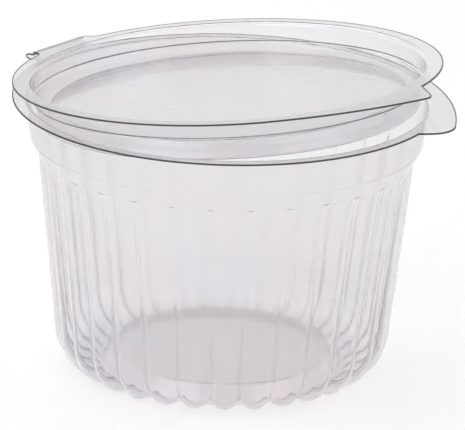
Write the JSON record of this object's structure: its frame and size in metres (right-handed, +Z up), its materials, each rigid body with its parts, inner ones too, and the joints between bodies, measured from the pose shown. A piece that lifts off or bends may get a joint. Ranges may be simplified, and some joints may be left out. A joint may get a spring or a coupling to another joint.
{
  "type": "hinged-lid food container",
  "caption": "Clear round plastic food container with a fluted tub and a hinged lid that rests ajar.",
  "frame": {"origin": "centre of the tub's base, on the plane that the tub stands on", "axes": "+Z up along the tub's axis; +X from the hinge towards the opening tabs; +Y along the hinge's fold"},
  "size_m": [0.1547, 0.14, 0.1078],
  "materials": {
    "tub_plastic": "clear, glossy, thermoformed PET sheet",
    "lid_plastic": "clear, glossy, thermoformed PET sheet"
  },
  "bodies": {
    "tub": {"tub": "tub_plastic"},
    "lid": {"lid": "lid_plastic"}
  },
  "joints": [
    {"name": "lid_hinge", "type": "hinge", "parent": "tub", "child": "lid", "pos_m": [-0.0726, 0, 0.09375], "axis": [0, -1, 0], "range_deg": [-5.8, 174.8], "stiffness_Nm_per_rad": 0.03, "springref_deg": 13.75}
  ]
}
